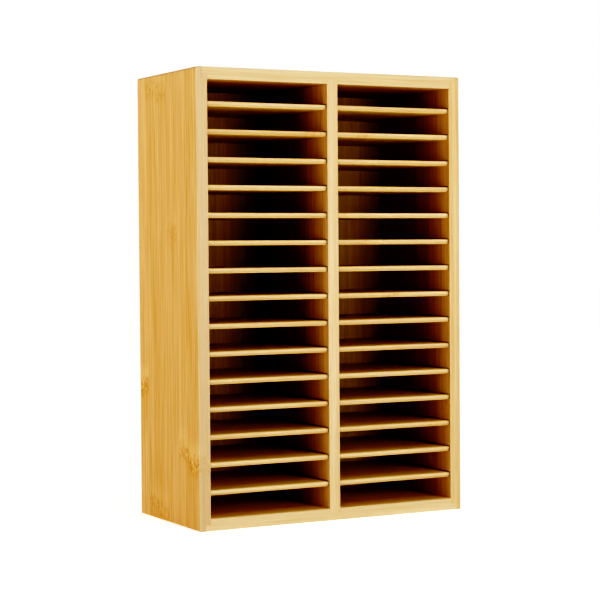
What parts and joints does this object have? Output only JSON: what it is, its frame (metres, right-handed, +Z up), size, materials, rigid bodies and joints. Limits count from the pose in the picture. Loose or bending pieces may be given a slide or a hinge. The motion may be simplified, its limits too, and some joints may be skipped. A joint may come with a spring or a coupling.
{
  "type": "pen organizer",
  "caption": "Upright bamboo cabinet, open at the front, with two columns of thin shelves that hold pens and markers lying flat in shallow slots.",
  "frame": {"origin": "middle of the base, on the surface that the cabinet stands on", "axes": "+Z up; +Y from the open front to the back; +X to the right seen from the front"},
  "size_m": [0.3, 0.145, 0.45],
  "materials": {
    "carcass_bamboo": "satin lacquer",
    "shelf_bamboo": "satin lacquer",
    "back_bamboo": "satin lacquer",
    "pin_steel": "plain"
  },
  "bodies": {
    "root": {"left_side": "carcass_bamboo", "right_side": "carcass_bamboo", "top_board": "carcass_bamboo", "bottom_board": "carcass_bamboo", "divider": "carcass_bamboo", "back_panel": "back_bamboo", "back_panel_pins": "pin_steel", "left_shelf_01": "shelf_bamboo", "left_shelf_02": "shelf_bamboo", "left_shelf_03": "shelf_bamboo", "left_shelf_04": "shelf_bamboo", "left_shelf_05": "shelf_bamboo", "left_shelf_06": "shelf_bamboo", "left_shelf_07": "shelf_bamboo", "left_shelf_08": "shelf_bamboo", "left_shelf_09": "shelf_bamboo", "left_shelf_10": "shelf_bamboo", "left_shelf_11": "shelf_bamboo", "left_shelf_12": "shelf_bamboo", "left_shelf_13": "shelf_bamboo", "left_shelf_14": "shelf_bamboo", "left_shelf_15": "shelf_bamboo", "right_shelf_01": "shelf_bamboo", "right_shelf_02": "shelf_bamboo", "right_shelf_03": "shelf_bamboo", "right_shelf_04": "shelf_bamboo", "right_shelf_05": "shelf_bamboo", "right_shelf_06": "shelf_bamboo", "right_shelf_07": "shelf_bamboo", "right_shelf_08": "shelf_bamboo", "right_shelf_09": "shelf_bamboo", "right_shelf_10": "shelf_bamboo", "right_shelf_11": "shelf_bamboo", "right_shelf_12": "shelf_bamboo", "right_shelf_13": "shelf_bamboo", "right_shelf_14": "shelf_bamboo", "right_shelf_15": "shelf_bamboo"}
  },
  "joints": []
}
